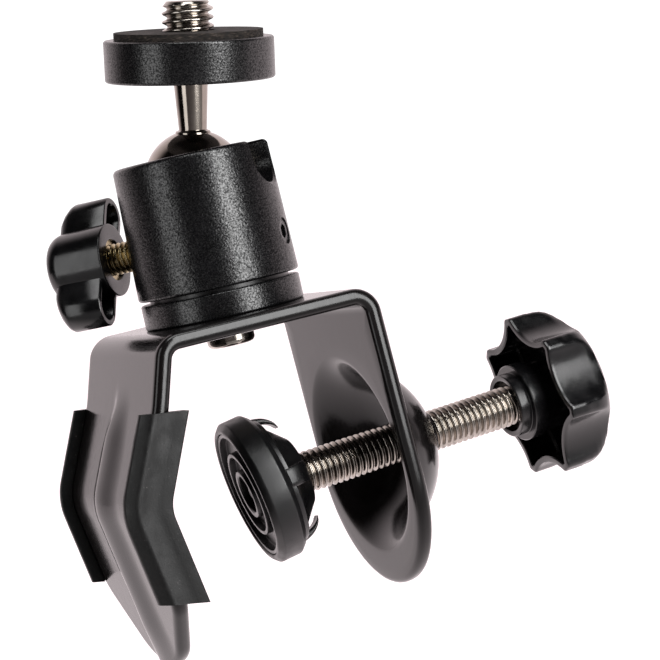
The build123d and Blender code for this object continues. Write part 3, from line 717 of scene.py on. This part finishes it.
def strip(name, side):
    """One rubber strip, swept along the jaw's edge."""
    section = softened(STRIP_SECTION, STRIP_SOFT, closed=True, count=3)
    lines = [jaw_rows(distance) for _, distance in section]
    rings = []
    for level in range(len(lines[0])):
        rings.append([
            HOME.at(line[level].x, side * y, line[level].y) for (y, _), line in zip(section, lines)
        ])
    points = [point for ring in rings for point in ring]
    piece(name + "_rubber", points, skin(rings), "frame", "strip_rubber", [name], sharp=45)


# ---- The clamp screw, the pad and the knob -------------------------------------------------------
THREAD_START = -16.5        # the clamp screw's first thread, along its axis
SCREW_PITCH = 1.25
PIN_R, PIN_LENGTH = 1.5, 4.6
NECK_R = 2.1
FINGERS = 4
FINGER_TURN = 8             # degrees from the pad's top to the first snap finger
# the finger's line: (along, radius, thickness)
FINGER = [(-0.9, 11.9, 1.5), (-2.2, 11.7, 1.4), (-3.6, 11.2, 1.2), (-4.8, 10.3, 0.9), (-5.4, 9.3, 0.5)]


def clamp_screw():
    """The long thread, with the thin neck and pin that carry the pad."""
    low, high, radius = span("clamp_screw", SCREW)
    step = low + PIN_LENGTH
    end = THREAD_START + 0.05
    turned("clamp_screw_neck", SCREW, [
        (low, 0), (low, PIN_R), (step, PIN_R), (step, NECK_R), (end, NECK_R), (end, 0),
    ], "screw", "zinc_steel", ["clamp_screw"], steps=48)
    threaded("clamp_screw_thread", SCREW, THREAD_START, high, radius, SCREW_PITCH, "screw", "zinc_steel")


def pad():
    """The pressure pad: its tyre, its ringed face and the retainer with its fingers."""
    tyre = softened([
        (-0.6, 12.6), (-0.6, 13.2), (0.5, 14.2), (4.3, 14.2),
        (5.3, 13.15), (5.3, 12.45), (4.6, 12.3), (4.6, 12.6),
    ], 0.25)
    turned("pad_tyre_ring", PAD, tyre, "pad", "tyre_rubber", ["pad_tyre"], sharp=50)
    disc = softened([
        (2.6, 4.75), (2.6, 12.25), (5.0, 12.25), (5.0, 11.55), (3.6, 11.5),
        (3.6, 8.35), (5.0, 8.25), (5.0, 7.55), (3.6, 7.45), (3.6, 4.9),
        (5.1, 4.65), (5.1, 3.9), (4.9, 3.65), (2.9, 3.6), (2.6, 3.8),
    ], 0.12)
    turned("pad_face_disc", PAD, disc, "pad", "pad_plastic", ["pad_disc"], sharp=40)
    collar = softened([
        (2.5, 4.8), (2.5, 6.2), (-0.6, 6.3), (-0.6, 12.4), (-1.7, 12.3), (-2.2, 10.6), (-5.6, 7.0),
        (-6.0, 6.6), (-6.0, 5.8), (-4.3, 5.6), (-3.0, 3.7), (-1.1, 4.55), (0.0, 4.62), (1.6, 4.6),
    ], 0.25)
    turned("pad_retainer_collar", PAD, collar, "pad", "pad_plastic", ["pad_retainer"], sharp=40)
    for number in range(FINGERS):
        snap_finger(number)


def snap_finger(number):
    """A sprung finger behind the pad, which thins out to a tip that leans inwards."""
    middle = math.radians(FINGER_TURN + 360 / FINGERS * number)
    rings = []
    for along, radius, thick in curved(FINGER):
        half = 1.9 if thick > 0.6 else 1.5
        ring = []
        for k in range(20):
            t = math.tau * k / 20
            wide = half * math.copysign(abs(math.cos(t)) ** 0.6, math.cos(t))
            deep = thick / 2 * math.copysign(abs(math.sin(t)) ** 0.7, math.sin(t))
            angle = middle + wide / radius
            size = radius + deep
            ring.append(PAD.at(size * math.cos(angle), size * math.sin(angle), along))
        rings.append(ring)
    points = [point for ring in rings for point in ring]
    piece(f"pad_finger_{number + 1}", points, skin(rings), "pad", "pad_plastic", sharp=50)


LOBES = 7
LOBE_TURN = math.radians(-3.9)
LOBE_FLAT = 3.5             # width of each lobe's tip
SCALLOP_R = 9.6
KNOB_R = 16.5
KNOB_STEPS = 224
KNOB_DEPTH = 11.3           # from the knob's open rim to its end
KNOB_WALL = 1.3
KNOB_WEB = 4.4              # from the knob's end to the web behind its hub
HUB_STEP = 2.3              # from the hub's front to its flange
WIDE = 99                   # a limit wider than the knob, which leaves its outline as it is
KNOB_CROWN = 9.9, 6.9       # radius of the knob's flat end, and the rounding beside it


def soft_min(a, b, blend):
    """The lesser of two sizes, rounded where they meet."""
    share = min(max(0.5 + (b - a) / (2 * blend), 0.0), 1.0)
    return b + (a - b) * share - blend * share * (1 - share)


def star(angle, wall=0.0):
    """The knob's outline at an angle, moved inwards by a wall."""
    valley = KNOB_R * math.cos(math.pi / LOBES)
    half = KNOB_R * math.sin(math.pi / LOBES) - LOBE_FLAT / 2
    centre = valley + math.sqrt(max(SCALLOP_R ** 2 - half ** 2, 0.0))
    step = math.tau / LOBES
    away = (angle - LOBE_TURN) % step - step / 2
    size = SCALLOP_R + wall
    inside = size ** 2 - (centre * math.sin(away)) ** 2
    if inside <= 0:
        return KNOB_R - wall
    return soft_min(KNOB_R - wall, centre * math.cos(away) - math.sqrt(inside), 0.35)


def clamp_knob():
    """The hollow knob in one skin: from its hub's bore, out over the web, round the rim and over its end."""
    low, high, _ = span("clamp_knob", SCREW)
    rim_at = high - KNOB_DEPTH
    web = high - KNOB_WEB
    flange = low + HUB_STEP
    turns = [LOBE_TURN + math.tau * k / KNOB_STEPS for k in range(KNOB_STEPS)]

    def ring(along, size):
        return [SCREW.at(size(t) * math.cos(t), size(t) * math.sin(t), along) for t in turns]

    def round_ring(along, radius):
        return ring(along, lambda t: radius)

    def star_ring(along, wall):
        return ring(along, lambda t: star(t, wall))

    def crown_ring(along, limit):
        return ring(along, lambda t: soft_min(star(t), limit, 0.9))

    hub = [
        (web + 0.7, 0.0), (web - 1.2, 5.2), (low + 0.1, 5.2), (low, 5.35), (low, 6.1), (low + 0.2, 6.3),
        (flange - 0.1, 6.3), (flange, 6.4), (flange, 7.5), (flange + 0.2, 7.7), (flange + 2.8, 7.7),
        (flange + 3.0, 7.5), (flange + 3.0, 6.95), (web - 0.3, 6.9), (web, 7.3),
    ]
    rings = [round_ring(*row) for row in hub]
    walls = [
        (web, KNOB_WALL + 0.5), (web - 0.5, KNOB_WALL + 0.05), (rim_at + 0.2, KNOB_WALL),
        (rim_at, KNOB_WALL - 0.2), (rim_at, 0.3), (rim_at + 0.1, 0.08),
    ]
    rings += [star_ring(*row) for row in walls]
    crown_flat, crown_round = KNOB_CROWN
    for along in (rim_at + 0.35, rim_at + 0.7, rim_at + 3.0, high - crown_round - 0.3):
        rings.append(crown_ring(along, WIDE))
    for k in range(9):
        t = math.radians(90 * k / 8)
        along = high - crown_round * (1 - math.sin(t))
        rings.append(crown_ring(along, crown_flat + crown_round * math.cos(t)))
    rings += [round_ring(high, radius) for radius in (7.5, 5.0, 2.5, 0.0)]
    points = [point for each in rings for point in each]
    faces = skin(rings, cap_start=False, cap_end=False)
    piece("clamp_knob_body", points, faces, "screw", "knob_plastic", ["clamp_knob"], sharp=38)


# ---- The lock screw and its wing knob -------------------------------------------------------------
WING_LEAN = math.radians(36.5)
WING_HALF = 3.6             # half of a wing's width
WING_WALL = 1.15
WING_REACH = 13.8           # from the lock screw's axis to a wing's tip
LOCK_PITCH = 1.0


def wing_outline(reach, half, root):
    """Half of the wing knob seen along its axis: a slot from near the boss out to a round tip."""
    made = [(root, -half)]
    for k in range(15):
        t = -math.pi / 2 + math.pi * k / 14
        made.append((reach - half + half * math.cos(t), half * math.sin(t)))
    made.append((root, half))
    return made


def wing(number, near, far):
    """One hollow wing, open towards the shell."""
    spin = WING_LEAN + math.pi * number
    cos, sin = math.cos(spin), math.sin(spin)

    def ring(along, reach, half, root):
        outline = wing_outline(reach, half, root)
        return [LOCK.at(x * cos - y * sin, x * sin + y * cos, along) for x, y in outline]

    inner, thin = WING_REACH - WING_WALL, WING_HALF - WING_WALL
    rings = [ring(*row) for row in [
        (far - 2.2, inner - 1.6, thin - 0.5, 6.2),
        (far - 2.6, inner - 0.8, thin, 6.2),
        (near + 0.15, inner, thin, 6.2),
        (near, inner + 0.15, thin + 0.15, 6.0),
        (near, WING_REACH - 0.2, WING_HALF - 0.2, 2.0),
        (near + 0.2, WING_REACH, WING_HALF, 2.0),
        (far - 2.8, WING_REACH, WING_HALF, 2.0),
        (far - 2.0, WING_REACH - 0.5, WING_HALF - 0.03, 2.0),
        (far - 1.1, WING_REACH - 1.7, WING_HALF - 0.15, 2.0),
        (far - 0.4, WING_REACH - 3.2, WING_HALF - 0.5, 2.0),
        (far, WING_REACH - 4.6, WING_HALF - 1.2, 2.0),
    ]]
    points = [point for each in rings for point in each]
    piece(f"wing_{number + 1}", points, skin(rings), "wing", "knob_plastic", sharp=45)


def wing_knob():
    """The knob's boss, its two wings and the lock screw."""
    near, end, _ = span("wing_knob", LOCK)
    boss = softened([
        (near + 9.4, 0), (near + 9.4, 3.9), (near, 3.95), (near, 7.0), (end - 2.2, 6.75), (end - 0.5, 5.6),
        (end, 3.2), (end, 0),
    ], [0, 0, 0.25, 0.3, 1.2, 1.2, 1.0, 0], count=5)
    turned("wing_boss", LOCK, boss, "wing", "knob_plastic", ["wing_knob"], sharp=45)
    for number in range(2):
        wing(number, near + 1.0, end - 1.6)
    low, high, radius = span("lock_screw", LOCK)
    threaded("lock_screw_thread", LOCK, low, high, radius, LOCK_PITCH, "wing", "brass", ["lock_screw"])


# ---- The ball and its stem -------------------------------------------------------------------------
BALL_R = 9.5
PLATE_UNDER = 18.75         # the camera plate's underside, above the ball's centre
STEM_R = 2.6, 3.2           # at the ball and at the plate
SHOULDER_R = 3.3            # where the stem's rounded foot meets the ball
TENON_R = 2.8               # the stem's end inside the camera plate
BALL_STEPS = 48


def ball_stem():
    """The whole turned ball, with the tapered stem rising from a small rounded foot."""
    _, top, _ = span("ball_stem", STEM)
    shoulder = math.acos(SHOULDER_R / BALL_R)
    profile = []
    for k in range(BALL_STEPS + 1):
        turn = -math.pi / 2 + (shoulder + math.pi / 2) * k / BALL_STEPS
        profile.append((BALL_R * math.sin(turn), BALL_R * math.cos(turn) if k else 0.0))
    foot = profile[-1][0]
    profile += softened([
        profile[-1], (foot + 0.35, SHOULDER_R - 0.05), (foot + 0.6, STEM_R[0]), (PLATE_UNDER, STEM_R[1]),
        (PLATE_UNDER, TENON_R),
    ], 0.15)[1:]
    profile += [(top - 0.1, TENON_R), (top, TENON_R - 0.2), (top, 0.0)]
    turned("ball_stem_turned", STEM, profile, "stem", "polished_steel", ["ball_stem"], sharp=40)


# ---- The camera stud -------------------------------------------------------------------------------
STUD_PITCH = 25.4 / 16      # sixteen threads to the inch
STUD_LENGTH = 6.6


def camera_stud():
    """The camera plate's thread."""
    _, high, radius = span("camera_stud", STEM)
    start = high - STUD_LENGTH
    threaded("camera_stud_thread", STEM, start, high, radius, STUD_PITCH, "platform", "zinc_steel",
             ["camera_stud"])


# ---- Floor and light ---------------------------------------------------------------------------
CAMERA_SIDE = Vector((math.sin(CAMERA_AZIMUTH), -math.cos(CAMERA_AZIMUTH), 0))
CAMERA_RIGHT = Vector((math.cos(CAMERA_AZIMUTH), math.sin(CAMERA_AZIMUTH), 0))
FLOOR_DROP = 0.05           # metres from the clamp's lowest point to the floor
FLOOR_EDGE = -0.12, 0.03    # where the floor starts to glow, in metres behind the clamp
FLOOR_DIM = 0.04
SWEEP_EDGE = 0.1, 0.66      # where the dim room turns into the white sweep, as a cosine
ROOM_DIM, SWEEP_LIGHT, BACKDROP_LIGHT = 0.005, 1.2, 1.2
SWEEP_COLOUR = (1.0, 0.88, 0.9, 1)


def faded(tree, place, edge, low, high):
    """A strength that rises softly from low to high, from the camera's side to the far side."""
    behind = tree.nodes.new("ShaderNodeVectorMath")
    behind.operation = "DOT_PRODUCT"
    behind.inputs[1].default_value = -CAMERA_SIDE
    tree.links.new(place, behind.inputs[0])
    fade = tree.nodes.new("ShaderNodeMapRange")
    fade.interpolation_type = "SMOOTHSTEP"
    fade.inputs["From Min"].default_value = edge[0]
    fade.inputs["From Max"].default_value = edge[1]
    fade.inputs["To Min"].default_value = low
    fade.inputs["To Max"].default_value = high
    tree.links.new(behind.outputs["Value"], fade.inputs["Value"])
    return fade.outputs["Result"]


def make_stage():
    """A plain pale floor well below the clamp, which glows softly from the clamp backwards."""
    low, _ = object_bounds()
    bpy.ops.mesh.primitive_plane_add(size=8, location=(0, 0, low.z - FLOOR_DROP))
    floor = bpy.context.object
    floor.name = "floor"
    made = bpy.data.materials.new("floor")
    made.use_nodes = True
    shader = made.node_tree.nodes["Principled BSDF"]
    shader.inputs["Base Color"].default_value = (0.3, 0.3, 0.3, 1)
    shader.inputs["Specular IOR Level"].default_value = 0.0
    shader.inputs["Roughness"].default_value = 0.9
    shader.inputs["Emission Color"].default_value = SWEEP_COLOUR
    tree = made.node_tree
    place = tree.nodes.new("ShaderNodeTexCoord").outputs["Object"]
    strength = faded(tree, place, FLOOR_EDGE, FLOOR_DIM, SWEEP_LIGHT)
    tree.links.new(strength, shader.inputs["Emission Strength"])
    floor.data.materials.append(made)


def softbox(name, turn, height, width, tall, power, distance=0.6):
    """An upright softbox, turned by degrees from the camera's side of the object to its right."""
    angle = math.radians(turn)
    place = distance * (math.cos(angle) * CAMERA_SIDE + math.sin(angle) * CAMERA_RIGHT)
    place.z = height
    data = bpy.data.lights.new(name, "AREA")
    data.shape = "RECTANGLE"
    data.size = width
    data.size_y = tall
    data.energy = power
    lamp = bpy.data.objects.new(name, data)
    lamp.location = place
    lamp.rotation_euler = place.to_track_quat("Z", "Y").to_euler()
    bpy.context.collection.objects.link(lamp)


def make_world():
    """A white sweep behind the object and a dim room in front of it; the backdrop itself is white."""
    world = bpy.data.worlds.new("world")
    world.use_nodes = True
    tree = world.node_tree
    nodes, links = tree.nodes, tree.links
    room = nodes["Background"]
    room.inputs["Color"].default_value = SWEEP_COLOUR
    sky = nodes.new("ShaderNodeTexCoord").outputs["Generated"]
    strength = faded(tree, sky, SWEEP_EDGE, ROOM_DIM, SWEEP_LIGHT)
    links.new(strength, room.inputs["Strength"])
    backdrop = nodes.new("ShaderNodeBackground")
    backdrop.inputs["Color"].default_value = (1, 1, 1, 1)
    backdrop.inputs["Strength"].default_value = BACKDROP_LIGHT
    ray = nodes.new("ShaderNodeLightPath")
    choice = nodes.new("ShaderNodeMixShader")
    links.new(ray.outputs["Is Camera Ray"], choice.inputs["Fac"])
    links.new(room.outputs["Background"], choice.inputs[1])
    links.new(backdrop.outputs["Background"], choice.inputs[2])
    links.new(choice.outputs["Shader"], nodes["World Output"].inputs["Surface"])
    bpy.context.scene.world = world


# ---- The whole scene ---------------------------------------------------------------------------
make_camera()
frame_sheet()
strip("jaw_strip_near", -1)
strip("jaw_strip_far", 1)
clamp_screw()
pad()
clamp_knob()
wing_knob()
ball_stem()
camera_stud()
make_stage()
make_world()
softbox("softbox_right", 43, 0.12, 0.27, 0.9, 7.5)
softbox("softbox_left", -49, 0.1, 0.28, 0.9, 1.9)
softbox("softbox_top", 30, 0.8, 0.5, 0.3, 2.5, distance=0.3)
bpy.context.scene.view_settings.view_transform = "Standard"
